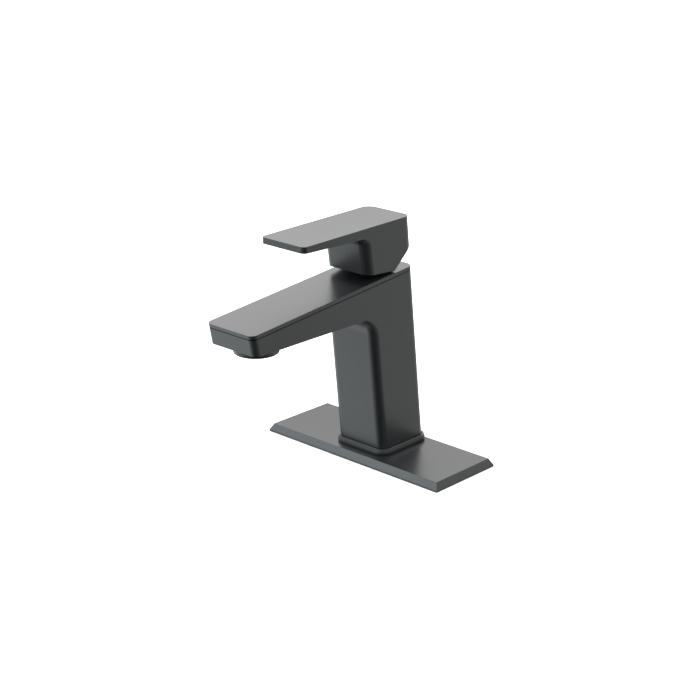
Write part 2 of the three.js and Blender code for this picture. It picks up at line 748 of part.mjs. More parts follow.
// ---------------------------------------------------------------- materials
const satinBlack = new THREE.MeshStandardMaterial({ color: 0x1b1d1f, roughness: 0.45, metalness: 0.4 });
const brass = new THREE.MeshStandardMaterial({ color: 0xb08d57, roughness: 0.4, metalness: 0.9 });
const copper = new THREE.MeshStandardMaterial({ color: 0xb87352, roughness: 0.35, metalness: 0.9 });
const steel = new THREE.MeshStandardMaterial({ color: 0xa9abad, roughness: 0.35, metalness: 0.9 });
const rubber = new THREE.MeshStandardMaterial({ color: 0x141414, roughness: 0.85, metalness: 0 });
const foam = new THREE.MeshStandardMaterial({ color: 0x303233, roughness: 0.95, metalness: 0 });
const plastic = new THREE.MeshStandardMaterial({ color: 0xdcdcd6, roughness: 0.5, metalness: 0 });
const ceramic = new THREE.MeshStandardMaterial({ color: 0xf2efe9, roughness: 0.25, metalness: 0 });

// ---------------------------------------------------------------- the scene graph
function add(parent, name, solid, material) {
  const mesh = new THREE.Mesh(geometryOf(solid), material);
  mesh.name = name;
  parent.add(mesh);
}

const faucet = new THREE.Group();
add(faucet, "deck_plate", deckPlate(), satinBlack);
add(faucet, "deck_plate_gasket", deckPlateGasket(), foam);
add(faucet, "base_flange", baseFlange(), satinBlack);
add(faucet, "base_seal", baseSeal(), rubber);
add(faucet, "base_block", baseBlock(), brass);
add(faucet, "body_shell", bodyShell(), satinBlack);
add(faucet, "spout_cover", spoutCover(), satinBlack);
add(faucet, "hot_tube", supplyTubeAt(-1), copper);
add(faucet, "cold_tube", supplyTubeAt(1), copper);
add(faucet, "outlet_tube", outletWay(), copper);
add(faucet, "lever_handle", leverHandle(), satinBlack);

const outlet = new THREE.Group();
outlet.position.set(0, outletY, outletZ);
add(outlet, "aerator_housing", aeratorHousing(), satinBlack);
add(outlet, "aerator_screen", aeratorScreen(), steel);
add(outlet, "aerator_insert", aeratorInsert(), plastic);
add(outlet, "aerator_washer", aeratorWasher(), rubber);
faucet.add(outlet);

const outletHolder = new THREE.Group();
outletHolder.position.set(0, outletY, 0);
add(outletHolder, "outlet_block", outletBlock(), brass);
faucet.add(outletHolder);

const valve = new THREE.Group();
valve.position.set(0, axisY, seatZ);
valve.rotation.x = tilt;
add(valve, "valve_core", valveCore(), brass);
add(valve, "cartridge_base", cartridgeBase(), plastic);
add(valve, "hot_inlet_seal", inletSeal(-1), rubber);
add(valve, "cold_inlet_seal", inletSeal(1), rubber);
add(valve, "fixed_disc", fixedDisc(), ceramic);
add(valve, "moving_disc", movingDisc(), ceramic);
add(valve, "disc_carrier", discCarrier(), plastic);
add(valve, "spindle_guide", spindleGuide(), plastic);
add(valve, "pivot_pin", pivotPin(), steel);
add(valve, "lever_spindle", leverSpindle(), brass);
add(valve, "cartridge_housing", cartridgeHousing(), plastic);
add(valve, "housing_ring", housingRing(), rubber);
add(valve, "retaining_nut", retainingNut(), brass);
add(valve, "trim_collar", trimCollar(), satinBlack);
add(valve, "handle_set_screw", handleSetScrew(), steel);
add(valve, "screw_cap", screwCap(), satinBlack);
faucet.add(valve);

export default faucet;
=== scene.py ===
"""Builds the finished look of a single-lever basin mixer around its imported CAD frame."""

import json
import math

import bmesh
import bpy
from mathutils import Matrix, Vector


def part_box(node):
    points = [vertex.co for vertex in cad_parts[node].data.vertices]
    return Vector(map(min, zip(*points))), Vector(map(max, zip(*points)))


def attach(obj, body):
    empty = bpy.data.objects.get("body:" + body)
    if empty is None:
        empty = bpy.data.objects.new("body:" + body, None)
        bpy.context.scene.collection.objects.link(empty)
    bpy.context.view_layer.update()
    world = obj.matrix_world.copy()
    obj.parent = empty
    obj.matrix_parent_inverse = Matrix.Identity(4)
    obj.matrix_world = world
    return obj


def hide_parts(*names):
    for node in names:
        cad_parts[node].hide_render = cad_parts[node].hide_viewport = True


bl_info = {
    "name": "Basin Mixer",
    "version": (1, 0, 0),
    "blender": (4, 5, 0),
    "location": "3D View > Sidebar > Mixer",
    "description": "Finishes a single-lever basin mixer around its CAD frame",
    "category": "Add Mesh",
}

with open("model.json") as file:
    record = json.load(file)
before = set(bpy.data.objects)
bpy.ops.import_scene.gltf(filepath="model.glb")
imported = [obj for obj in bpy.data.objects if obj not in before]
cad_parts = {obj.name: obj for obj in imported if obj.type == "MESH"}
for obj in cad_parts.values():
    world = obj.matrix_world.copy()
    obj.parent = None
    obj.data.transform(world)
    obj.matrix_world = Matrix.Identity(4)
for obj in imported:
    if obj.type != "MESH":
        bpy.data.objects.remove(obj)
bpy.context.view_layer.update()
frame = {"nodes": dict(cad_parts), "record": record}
MM = 0.001
UP = Vector((0, 0, 1))

# Cleaning of a mesh before its edges are rounded
SAME_POINT = 0.002 * MM
SAME_PLANE = math.radians(0.4)
SAME_TURNED_POINT = 0.001 * MM

# Edges sharper than this, in degrees, are rounded, and into how many steps
SHARP_ANGLE = 35.0
PLATE_SHARP_ANGLE = 25.0
FLANGE_SHARP_ANGLE = 12.0
EDGE_STEPS = 3
COVER_EDGE_STEPS = 4
INNER_EDGE_STEPS = 2

# A turned piece stays this far, in mm, inside its CAD solid
TURNED_ALLOWANCE = 0.02
TURNED_SIDES = 128
HOUSING_SIDES = 160
CAP_SIDES = 72
CORNER_STEPS = 4

# The base flange's bevel in the CAD solid, and how exactly its lower edge is found
FLANGE_BEVEL = 0.8 * MM
FLANGE_LEVEL = 0.02 * MM

# How finely the outlet screen's wires and rim are divided
WIRE_STEPS = 121
WIRE_SIDES = 6
RIM_STEPS = 96
RIM_SIDES = 12

# Inner pieces that get broken edges
MACHINED = (
    "cartridge_housing", "spindle_guide", "lever_spindle", "pivot_pin", "retaining_nut",
    "handle_set_screw", "disc_carrier", "moving_disc", "fixed_disc", "cartridge_base",
    "valve_core", "base_block", "outlet_block", "hot_tube", "cold_tube", "outlet_tube",
    "aerator_insert", "aerator_washer", "housing_ring", "hot_inlet_seal", "cold_inlet_seal",
    "base_seal",
)

FLOOR_HALF_WIDTH = 12.0
FLOOR_DROP = 0.2 * MM

LIGHTS = {
    "overhead": {
        "place": (-0.1, 0.1, 1.4), "aim": (0.0, -0.03, 0.05),
        "width": 1.0, "height": 1.0, "power": 5.0,
    },
    "back_softbox": {
        "place": (-0.75, 0.80, 0.95), "aim": (0.0, -0.05, 0.1),
        "width": 2.0, "height": 1.0, "power": 12.0,
    },
    "right_strip": {
        "place": (0.47, 1.03, 1.02), "aim": (0.0, -0.03, 0.12),
        "width": 0.55, "height": 0.55, "power": 4.0,
    },
    "left_strip": {
        "place": (-1.02, -0.5, 1.1), "aim": (0.0, -0.03, 0.12),
        "width": 0.55, "height": 0.55, "power": 4.0,
    },
}

# Brightness of the studio's walls, and what each panel and card adds to it
STUDIO = {
    "walls": 0.72,
    "back_panel": 0.3,
    "front_panel": 1.7,
    "left_panel": 3.6,
    "right_panel": 1.0,
    "left_card": 1.25,
    "right_card": 0.3,
    "dark_side": 0.7,
}

# Where each of them fades in, from none to full, by one part of the unit vector that looks at it
FADES = {
    "low": (0.1, -0.2),
    "high": (0.08, 0.4),
    "left": (-0.3, -0.85),
    "right": (0.3, 0.85),
    "panel_height": (0.2, 0.56),
    "panel_back": (0.1, -0.6),
    "panel_front": (0.1, 0.6),
    "dark_height": (0.3, 0.0),
    "dark_front": (-0.12, 0.6),
}
WHITE_LIGHT = (1.0, 1.0, 1.0)
LEFT_LIGHT = (0.9, 0.975, 1.0)

CAMERA = {
    "azimuth": math.radians(43.162),
    "elevation": math.radians(19.439),
    "distance": 1.1219,
    "aim": Vector((-0.00469, -0.02477, 0.07922)),
    "lens": 84.0,
    "sensor_width": 36.0,
    "nearest": 0.01,
    "farthest": 50.0,
}


# ------------------------------------------------------------------ sizes and colours
class MixerSizes(bpy.types.PropertyGroup):
    """Sizes that the CAD frame leaves to the finish."""

    edge: bpy.props.FloatProperty(
        name="Edge radius",
        description="Radius of the cast pieces' visible edges",
        default=0.45 * MM,
        unit="LENGTH",
    )
    cover_edge: bpy.props.FloatProperty(
        name="Cover edge radius",
        description="Radius of the spout cover's edges",
        default=0.8 * MM,
        unit="LENGTH",
    )
    plate_edge: bpy.props.FloatProperty(
        name="Plate edge radius",
        description="Radius of the deck plate's pressed edges",
        default=0.5 * MM,
        unit="LENGTH",
    )
    flange_slope: bpy.props.FloatProperty(
        name="Flange slope",
        description="Height of the sloping band round the base flange's top",
        default=2.5 * MM,
        unit="LENGTH",
    )
    flange_edge: bpy.props.FloatProperty(
        name="Flange edge radius",
        description="Radius of the base flange's edges",
        default=0.2 * MM,
        unit="LENGTH",
    )
    wire_pitch: bpy.props.FloatProperty(
        name="Screen pitch",
        description="Distance between the wires of the outlet screen",
        default=1.0 * MM,
        unit="LENGTH",
    )
    wire_radius: bpy.props.FloatProperty(
        name="Screen wire radius",
        description="Radius of a wire of the outlet screen",
        default=0.17 * MM,
        unit="LENGTH",
    )
    inner_edge: bpy.props.FloatProperty(
        name="Inner edge radius",
        description="Radius of the broken edges of the pieces inside",
        default=0.12 * MM,
        unit="LENGTH",
    )


class MixerColours(bpy.types.PropertyGroup):
    """Base colours of the finishes."""

    coating: bpy.props.FloatVectorProperty(
        name="Coating",
        description="Satin black coating of the outer pieces",
        subtype="COLOR",
        size=3,
        default=(0.0060, 0.0068, 0.0076),
    )
    brass: bpy.props.FloatVectorProperty(
        name="Brass",
        description="Machined brass",
        subtype="COLOR",
        size=3,
        default=(0.62, 0.43, 0.18),
    )
    copper: bpy.props.FloatVectorProperty(
        name="Copper",
        description="Drawn copper tube",
        subtype="COLOR",
        size=3,
        default=(0.66, 0.31, 0.17),
    )
    steel: bpy.props.FloatVectorProperty(
        name="Steel",
        description="Stainless steel",
        subtype="COLOR",
        size=3,
        default=(0.54, 0.55, 0.56),
    )
    rubber: bpy.props.FloatVectorProperty(
        name="Rubber",
        description="Sealing rubber",
        subtype="COLOR",
        size=3,
        default=(0.018, 0.018, 0.019),
    )
    foam: bpy.props.FloatVectorProperty(
        name="Foam",
        description="Closed-cell foam gasket",
        subtype="COLOR",
        size=3,
        default=(0.05, 0.052, 0.056),
    )
    plastic: bpy.props.FloatVectorProperty(
        name="White plastic",
        description="Acetal mouldings",
        subtype="COLOR",
        size=3,
        default=(0.72, 0.71, 0.67),
    )
    grey_plastic: bpy.props.FloatVectorProperty(
        name="Grey plastic",
        description="Cartridge inner mouldings",
        subtype="COLOR",
        size=3,
        default=(0.17, 0.19, 0.22),
    )
    ceramic: bpy.props.FloatVectorProperty(
        name="Ceramic",
        description="Lapped ceramic discs",
        subtype="COLOR",
        size=3,
        default=(0.84, 0.82, 0.77),
    )
    floor: bpy.props.FloatVectorProperty(
        name="Floor",
        description="Studio floor",
        subtype="COLOR",
        size=3,
        default=(0.86, 0.86, 0.86),
    )


# ------------------------------------------------------------------ node graphs
class Wire:
    """A node's output, usable in sums: each operator adds its Math node."""

    def __init__(self, graph, socket):
        self.graph = graph
        self.socket = socket

    def _sum(self, operation, first, second):
        return self.graph.add("ShaderNodeMath", {"operation": operation}, {0: first, 1: second})

    def __add__(self, other):
        return self._sum("ADD", self, other)

    def __sub__(self, other):
        return self._sum("SUBTRACT", self, other)

    def __mul__(self, other):
        return self._sum("MULTIPLY", self, other)

    def __rsub__(self, other):
        return self._sum("SUBTRACT", other, self)

    def __truediv__(self, other):
        return self._sum("DIVIDE", self, other)

    def __rtruediv__(self, other):
        return self._sum("DIVIDE", other, self)

    def __gt__(self, other):
        return self._sum("GREATER_THAN", self, other)

    __radd__ = __add__
    __rmul__ = __mul__


class Graph:
    """Adds nodes to a tree and joins them up."""

    # A colour Mix node has a socket of each name for every kind of value
    MIX_AMOUNT, MIX_DARK, MIX_LIGHT, MIX_RESULT = 0, 6, 7, 2

    def __init__(self, tree):
        self.tree = tree

    def add(self, kind, settings=None, inputs=None, output=0):
        """A new node: its settings first, then the values or wires of its sockets."""
        node = self.tree.nodes.new(kind)
        for name, value in (settings or {}).items():
            setattr(node, name, value)
        for key, value in (inputs or {}).items():
            if isinstance(value, Wire):
                self.tree.links.new(value.socket, node.inputs[key])
            else:
                node.inputs[key].default_value = value
        return Wire(self, node.outputs[output]) if node.outputs else node

    def also(self, wire, output):
        """Another output of the node that a wire comes from."""
        return Wire(self, wire.socket.node.outputs[output])

    def shade(self, dark, light, amount):
        """A colour between two others."""
        inputs = {
            self.MIX_AMOUNT: amount,
            self.MIX_DARK: (*dark, 1),
            self.MIX_LIGHT: (*light, 1),
        }
        return self.add("ShaderNodeMix", {"data_type": "RGBA"}, inputs, self.MIX_RESULT)


class Finish(Graph):
    """One procedural material, on the piece's own Object coordinates in metres."""

    def __init__(self, name):
        self.material = bpy.data.materials.new(name)
        self.material.use_nodes = True
        super().__init__(self.material.node_tree)
        self.tree.nodes.clear()
        self.place = self.add("ShaderNodeTexCoord", output="Object")

    def noise(self, scale, detail):
        """Noise that is the same in every direction."""
        inputs = {"Vector": self.place, "Scale": scale, "Detail": detail}
        return self.add("ShaderNodeTexNoise", None, inputs)

    def streaks(self, stretch, detail):
        """Noise with its own scale along each axis, so it runs along the smallest one."""
        place = self.add("ShaderNodeMapping", None, {"Vector": self.place, "Scale": stretch})
        inputs = {"Vector": place, "Scale": 1.0, "Detail": detail}
        return self.add("ShaderNodeTexNoise", None, inputs)

    def cells(self, scale):
        """Small rounded cells."""
        return self.add("ShaderNodeTexVoronoi", None, {"Vector": self.place, "Scale": scale})

    def relief(self, height, strength, distance):
        """A surface raised by a height, to be wired to Normal."""
        inputs = {"Height": height, "Strength": strength, "Distance": distance}
        return self.add("ShaderNodeBump", None, inputs)

    def close(self, **inputs):
        """Ends the material in its shader, whose sockets are named with underscores."""
        sockets = {name.replace("_", " "): value for name, value in inputs.items()}
        surface = self.add("ShaderNodeBsdfPrincipled", None, sockets)
        self.add("ShaderNodeOutputMaterial", None, {"Surface": surface})
        return self.material


# ------------------------------------------------------------------ finishes
def tint(colour, factor):
    return tuple(min(1.0, channel * factor) for channel in colour)


def coating_finish(colours):
    """Satin powder coat: a fine even orange peel, faint clouding and slightly uneven gloss."""
    finish = Finish("satin_black")
    cloud = finish.noise(scale=22.0, detail=3.0)
    peel = finish.noise(scale=2600.0, detail=1.0)
    grain = finish.noise(scale=9000.0, detail=0.0)
    base = finish.shade(tint(colours.coating, 0.86), tint(colours.coating, 1.16), cloud)
    roughness = 0.27 + 0.05 * cloud + 0.03 * peel
    surface = finish.relief(0.7 * peel + 0.3 * grain, strength=0.16, distance=0.02 * MM)
    return finish.close(
        Base_Color=base, Metallic=0.0, Roughness=roughness, IOR=1.5, Normal=surface,
    )


def brass_finish(colours):
    """Turned brass: fine tool marks round each height, with darker patches."""
    finish = Finish("turned_brass")
    marks = finish.streaks(stretch=(160.0, 160.0, 5200.0), detail=2.0)
    patch = finish.noise(scale=90.0, detail=4.0)
    base = finish.shade(tint(colours.brass, 0.72), colours.brass, patch)
    roughness = 0.24 + 0.22 * marks
    surface = finish.relief(marks, strength=0.25, distance=0.02 * MM)
    return finish.close(Base_Color=base, Metallic=0.95, Roughness=roughness, Normal=surface)


def copper_finish(colours):
    """Drawn copper tube with a light tarnish."""
    finish = Finish("drawn_copper")
    tarnish = finish.noise(scale=120.0, detail=5.0)
    draw = finish.streaks(stretch=(5200.0, 5200.0, 120.0), detail=1.0)
    base = finish.shade(tint(colours.copper, 0.55), colours.copper, tarnish)
    roughness = 0.22 + 0.3 * tarnish
    surface = finish.relief(draw, strength=0.2, distance=0.015 * MM)
    return finish.close(Base_Color=base, Metallic=0.95, Roughness=roughness, Normal=surface)


def steel_finish(colours):
    """Stainless steel with short brushed marks."""
    finish = Finish("stainless_steel")
    brush = finish.streaks(stretch=(400.0, 6000.0, 6000.0), detail=2.0)
    base = finish.shade(tint(colours.steel, 0.8), colours.steel, brush)
    roughness = 0.22 + 0.2 * brush
    surface = finish.relief(brush, strength=0.2, distance=0.01 * MM)
    return finish.close(Base_Color=base, Metallic=0.95, Roughness=roughness, Normal=surface)


def rubber_finish(colours):
    """Moulded sealing rubber, dull and faintly dusty."""
    finish = Finish("sealing_rubber")
    dust = finish.noise(scale=400.0, detail=5.0)
    grain = finish.noise(scale=3000.0, detail=2.0)
    base = finish.shade(colours.rubber, tint(colours.rubber, 1.9), dust)
    roughness = 0.72 + 0.16 * dust
    surface = finish.relief(grain, strength=0.3, distance=0.03 * MM)
    return finish.close(Base_Color=base, Roughness=roughness, Normal=surface)


def foam_finish(colours):
    """Closed-cell foam with its small open skin cells."""
    finish = Finish("gasket_foam")
    cell = finish.cells(scale=1500.0)
    base = finish.shade(tint(colours.foam, 0.45), colours.foam, cell)
    roughness = 0.9 + 0.06 * cell
    surface = finish.relief(cell, strength=0.8, distance=0.25 * MM)
    return finish.close(Base_Color=base, Roughness=roughness, Normal=surface)


def plastic_finish(name, colour):
    """Injection moulded plastic with a spark-eroded grain."""
    finish = Finish(name)
    mottle = finish.noise(scale=160.0, detail=3.0)
    grain = finish.noise(scale=5200.0, detail=2.0)
    base = finish.shade(tint(colour, 0.9), colour, mottle)
    roughness = 0.4 + 0.16 * grain
    surface = finish.relief(grain, strength=0.3, distance=0.02 * MM)
    return finish.close(Base_Color=base, Roughness=roughness, Normal=surface)


def ceramic_finish(colours):
    """Lapped alumina: dense, slightly speckled and smooth."""
    finish = Finish("lapped_ceramic")
    speck = finish.noise(scale=2600.0, detail=3.0)
    base = finish.shade(tint(colours.ceramic, 0.93), colours.ceramic, speck)
    roughness = 0.16 + 0.08 * speck
    surface = finish.relief(speck, strength=0.08, distance=0.01 * MM)
    return finish.close(Base_Color=base, Roughness=roughness, Normal=surface)


def floor_finish(colours):
    """Pale studio paper."""
    finish = Finish("studio_paper")
    fibre = finish.noise(scale=900.0, detail=4.0)
    base = finish.shade(tint(colours.floor, 0.985), colours.floor, fibre)
    return finish.close(Base_Color=base, Roughness=0.75 + 0.1 * fibre)


FINISH_MAKERS = {
    "satin_black": coating_finish,
    "brass": brass_finish,
    "copper": copper_finish,
    "steel": steel_finish,
    "rubber": rubber_finish,
    "foam": foam_finish,
    "white_plastic": lambda colours: plastic_finish("acetal", colours.plastic),
    "grey_plastic": lambda colours: plastic_finish("glass_filled_nylon", colours.grey_plastic),
    "ceramic": ceramic_finish,
}
FINISHES = {}


def finish_for(slot):
    """The finish of one of the record's material slots, made when it is first asked for."""
    if slot not in FINISHES:
        FINISHES[slot] = FINISH_MAKERS[slot](bpy.context.scene.mixer_colours)
    return FINISHES[slot]


# ------------------------------------------------------------------ shared steps
def record_slots():
    return {entry["node"]: entry["material_slot"] for entry in frame["record"]["subparts"]}


def dress(piece, material):
    piece.data.materials.clear()
    piece.data.materials.append(material)


def settle(piece, node, material):
    """Gives a finished piece its material and body, in place of a CAD node."""
    dress(piece, material)
    bodies = frame["record"]["behaviour"]["bodies"]
    body = next(name for name, nodes in bodies.items() if node in nodes)
    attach(piece, body)
    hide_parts(node)


def new_piece(name, mesh):
    piece = bpy.data.objects.new(name, mesh)
    bpy.context.scene.collection.objects.link(piece)
    return piece


def plain_mesh(piece):
    """Applies a piece's modifiers and leaves a plain mesh."""
    evaluated = piece.evaluated_get(bpy.context.evaluated_depsgraph_get())
    mesh = bpy.data.meshes.new_from_object(evaluated)
    piece.modifiers.clear()
    piece.data = mesh
    return piece


def merged_copy(node):
    """A copy of a CAD node's mesh with its corners joined and its flat faces whole."""
    mesh = frame["nodes"][node].data.copy()
    shape = bmesh.new()
    shape.from_mesh(mesh)
    bmesh.ops.remove_doubles(shape, verts=shape.verts, dist=SAME_POINT)
    bmesh.ops.dissolve_limit(
        shape, angle_limit=SAME_PLANE, verts=shape.verts, edges=shape.edges
    )
    shape.to_mesh(mesh)
    shape.free()
    return mesh


def smooth_with_flats(piece):
    """Shades a piece smooth, with normals weighted so that its flats stay flat."""
    piece.data.shade_smooth()
    weighted = piece.modifiers.new("flats", "WEIGHTED_NORMAL")
    weighted.mode = "FACE_AREA"
    weighted.weight = 100
    return plain_mesh(piece)


def round_edges(piece, radius, angle=SHARP_ANGLE, steps=EDGE_STEPS):
    """Rounds a piece's sharp edges and keeps its flats flat."""
    bevel = piece.modifiers.new("edges", "BEVEL")
    bevel.width = radius
    bevel.segments = steps
    bevel.limit_method = "ANGLE"
    bevel.angle_limit = math.radians(angle)
    bevel.miter_outer = "MITER_ARC"
    bevel.use_clamp_overlap = True
    smooth_with_flats(piece)


def refined(node, radius, material, angle=SHARP_ANGLE, steps=EDGE_STEPS):
    """A CAD node's shape with rounded edges, standing for that node."""
    piece = new_piece(node + "_finish", merged_copy(node))
    round_edges(piece, radius, angle, steps)
    settle(piece, node, material)


def rounded(corners):
    """The points in metres of a closed profile of (radius, height, rounding) corners in mm."""
    points = []
    profile = [Vector((radius * MM, height * MM)) for radius, height, _ in corners]
    for index, (here, corner) in enumerate(zip(profile, corners)):
        rounding = corner[2] * MM
        if rounding == 0:
            points.append(tuple(here))
            continue
        before = (profile[index - 1] - here).normalized()
        after = (profile[(index + 1) % len(profile)] - here).normalized()
        for step in range(CORNER_STEPS + 1):
            part = step / CORNER_STEPS
            start = here + before * rounding * (1 - part)
            end = here + after * rounding * part
            points.append(tuple(start.lerp(end, part)))
    return points


def turned(name, corners, sides=TURNED_SIDES):
    """A piece whose closed profile of corners is turned round the Z axis."""
    profile = rounded(corners)
    shape = bmesh.new()
    rings = []
    for step in range(sides):
        angle = 2 * math.pi * step / sides
        rings.append([
            shape.verts.new((radius * math.cos(angle), radius * math.sin(angle), height))
            for radius, height in profile
        ])
    for step, ring in enumerate(rings):
        following = rings[(step + 1) % sides]
        for index in range(len(profile)):
            after = (index + 1) % len(profile)
            shape.faces.new((ring[index], following[index], following[after], ring[after]))
    bmesh.ops.remove_doubles(shape, verts=shape.verts, dist=SAME_TURNED_POINT)
    bmesh.ops.dissolve_degenerate(shape, edges=shape.edges, dist=SAME_TURNED_POINT)
    bare = [edge for edge in shape.edges if not edge.link_faces]
    bmesh.ops.delete(shape, geom=bare, context="EDGES")
    bmesh.ops.recalc_face_normals(shape, faces=shape.faces)
    mesh = bpy.data.meshes.new(name)
    shape.to_mesh(mesh)
    shape.free()
    return new_piece(name, mesh)


def inside_radius(low, high):
    """The radius in mm of a piece turned just inside its CAD solid's box."""
    return (high.x - low.x) / 2 / MM - TURNED_ALLOWANCE


# ------------------------------------------------------------------ geometry trees
class Shape(Graph):
    """A Geometry Nodes tree with named inputs, run once on an empty mesh."""

    def __init__(self, name):
        super().__init__(bpy.data.node_groups.new(name, "GeometryNodeTree"))
        self.values = {}
        self.tree.interface.new_socket(
            "Geometry", in_out="OUTPUT", socket_type="NodeSocketGeometry"
        )
        self.inlet = self.tree.nodes.new("NodeGroupInput")

    def size(self, name, value):
        """A named input of the tree, with its value."""
        item = self.tree.interface.new_socket(
            name, in_out="INPUT", socket_type="NodeSocketFloat"
        )
        self.values[item.identifier] = value
        socket = next(s for s in self.inlet.outputs if s.identifier == item.identifier)
        return Wire(self, socket)

    def vector(self, x=0.0, y=0.0, z=0.0):
        return self.add("ShaderNodeCombineXYZ", None, {"X": x, "Y": y, "Z": z})

    def circle(self, radius, sides):
        inputs = {"Resolution": sides, "Radius": radius}
        return self.add("GeometryNodeCurvePrimitiveCircle", None, inputs)

    def make(self, name, geometry, material):
        """Ends the tree and leaves what it makes as a plain piece."""
        solid = self.add("GeometryNodeRealizeInstances", None, {"Geometry": geometry})
        inputs = {"Geometry": solid, "Material": material}
        coated = self.add("GeometryNodeSetMaterial", None, inputs)
        self.add("NodeGroupOutput", None, {"Geometry": coated})
        piece = new_piece(name, bpy.data.meshes.new(name))
        modifier = piece.modifiers.new("shape", "NODES")
        modifier.node_group = self.tree
        for identifier, value in self.values.items():
            modifier[identifier] = value
        return plain_mesh(piece)


def parallel_paths(shape, disc, gap):
    """Straight paths side by side across a disc, a gap apart."""
    inputs = {"Start": shape.vector(x=-1.0 * disc), "End": shape.vector(x=disc)}
    line = shape.add("GeometryNodeCurvePrimitiveLine", None, inputs)
    path = shape.add("GeometryNodeResampleCurve", None, {"Curve": line, "Count": WIRE_STEPS})
    count = shape.add("ShaderNodeMath", {"operation": "FLOOR"}, {0: (2.0 * disc) / gap})
    rows = shape.add(
        "GeometryNodeMeshLine",
        {"mode": "OFFSET"},
        {
            "Count": count,
            "Start Location": shape.vector(y=(gap / 2.0) - disc),
            "Offset": shape.vector(y=gap),
        },
    )
    placed = shape.add("GeometryNodeInstanceOnPoints", None, {"Points": rows, "Instance": path})
    return shape.add("GeometryNodeRealizeInstances", None, {"Geometry": placed})


def woven_wires(shape, paths, disc, gap, thick):
    """Wires along the paths, each bent over and under the crossing set and cut at the rim."""
    place = shape.add("GeometryNodeInputPosition")
    along = shape.add("ShaderNodeSeparateXYZ", None, {"Vector": place})
    across = shape.also(along, "Y")
    phase = (along + across) * math.pi / gap
    wave = shape.add("ShaderNodeMath", {"operation": "SINE"}, {0: phase})
    inputs = {"Geometry": paths, "Offset": shape.vector(z=wave * thick)}
    bent = shape.add("GeometryNodeSetPosition", None, inputs)
    reach = shape.add(
        "ShaderNodeVectorMath", {"operation": "LENGTH"}, {0: place}, output="Value"
    )
    inputs = {"Geometry": bent, "Selection": reach > disc}
    cropped = shape.add("GeometryNodeDeleteGeometry", {"domain": "POINT"}, inputs)
    section = shape.circle(thick, WIRE_SIDES)
    inputs = {"Curve": cropped, "Profile Curve": section, "Fill Caps": True}
    return shape.add("GeometryNodeCurveToMesh", None, inputs)


def woven_screen(radius, thickness, pitch, wire):
    """The tree of two sets of crossing wires inside a ring, and what it makes."""
    shape = Shape("woven_screen")
    disc = shape.size("Disc radius", radius)
    gap = shape.size("Wire pitch", pitch)
    thick = shape.size("Wire radius", wire)
    wires = woven_wires(shape, parallel_paths(shape, disc, gap), disc, gap, thick)
    half_turn_across = (math.pi, 0.0, math.pi / 2)
    crossing = shape.add(
        "GeometryNodeTransform", None, {"Geometry": wires, "Rotation": half_turn_across}
    )
    rim_path = shape.circle(disc, RIM_STEPS)
    rim_section = shape.circle(thickness / 2, RIM_SIDES)
    inputs = {"Curve": rim_path, "Profile Curve": rim_section}
    rim = shape.add("GeometryNodeCurveToMesh", None, inputs)
    joined = shape.add("GeometryNodeJoinGeometry")
    for part in (wires, crossing, rim):
        shape.tree.links.new(part.socket, joined.socket.node.inputs[0])
    return shape, joined


# ------------------------------------------------------------------ pieces
def make_flange(sizes):
    """The base flange, with the bevel round its top drawn down its side as a sloping band."""
    piece = new_piece("base_flange_finish", merged_copy("base_flange"))
    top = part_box("base_flange")[1][2]
    for point in piece.data.vertices:
        if abs(point.co.z - (top - FLANGE_BEVEL)) < FLANGE_LEVEL:
            point.co.z = top - sizes.flange_slope
    round_edges(piece, sizes.flange_edge, angle=FLANGE_SHARP_ANGLE)
    settle(piece, "base_flange", finish_for("satin_black"))


def seat():
    """The cartridge's axis as the CAD joint gives it: its foot, and Z turned to its direction."""
    joints = frame["record"]["behaviour"]["joints"]
    turn = next(joint for joint in joints if joint["name"] == "handle_turn")
    lean = UP.rotation_difference(Vector(turn["axis"]).normalized())
    return Matrix.Translation(Vector(turn["pos_m"])) @ lean.to_matrix().to_4x4()


def make_housing():
    """The outlet's collar: a chamfered mouth, a thin groove and the neck that screws in."""
    low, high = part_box("aerator_housing")
    outer = inside_radius(low, high)
    groove = outer - 0.3
    shoulder, top = 5.97, (high.z - low.z) / MM - TURNED_ALLOWANCE
    neck, bore, mouth = 12.58, 11.05, 10.02
    corners = (
        # radius, height and rounding, in mm, from the mouth outwards and up
        (11.0, 0.62, 0.2),
        (11.55, 0.05, 0.15),
        (outer - 0.6, 0.03, 0.3),
        (outer, 0.6, 0.3),
        (outer, 4.4, 0.1),
        (groove, 4.6, 0),
        (groove, 4.9, 0),
        (outer, 5.1, 0.1),
        (outer, shoulder, 0.2),
        (neck, shoulder, 0.1),
        (neck, top, 0.3),
        (bore, top, 0.1),
        (bore, 2.2, 0.1),
        (mouth, 2.2, 0.1),
        (mouth, 0.62, 0.1),
    )
    piece = turned("aerator_housing_finish", corners, HOUSING_SIDES)
    middle = (low + high) / 2
    piece.data.transform(Matrix.Translation((middle.x, middle.y, low.z)))
    settle(smooth_with_flats(piece), "aerator_housing", finish_for("satin_black"))


def make_collar():
    """The collar over the retaining nut, with its rounded shoulder and lower groove."""
    foot, outer, groove = 0.35, 15.95, 15.6
    inner, top, neck = 14.3, 4.25, 9.5
    corners = (
        # radius, height and rounding, in mm, from the foot outwards and up
        (inner, foot, 0.1),
        (outer, foot, 0.2),
        (outer, 0.95, 0.1),
        (groove, 1.1, 0),
        (groove, 1.3, 0),
        (outer, 1.45, 0.1),
        (outer, 2.2, 0.55),
        (13.0, top, 0.6),
        (9.6, top, 0.08),
        (neck, 4.05, 0.05),
        (neck, 1.6, 0.1),
        (inner, 1.6, 0.2),
    )
    piece = turned("trim_collar_finish", corners)
    piece.data.transform(seat())
    settle(smooth_with_flats(piece), "trim_collar", finish_for("satin_black"))


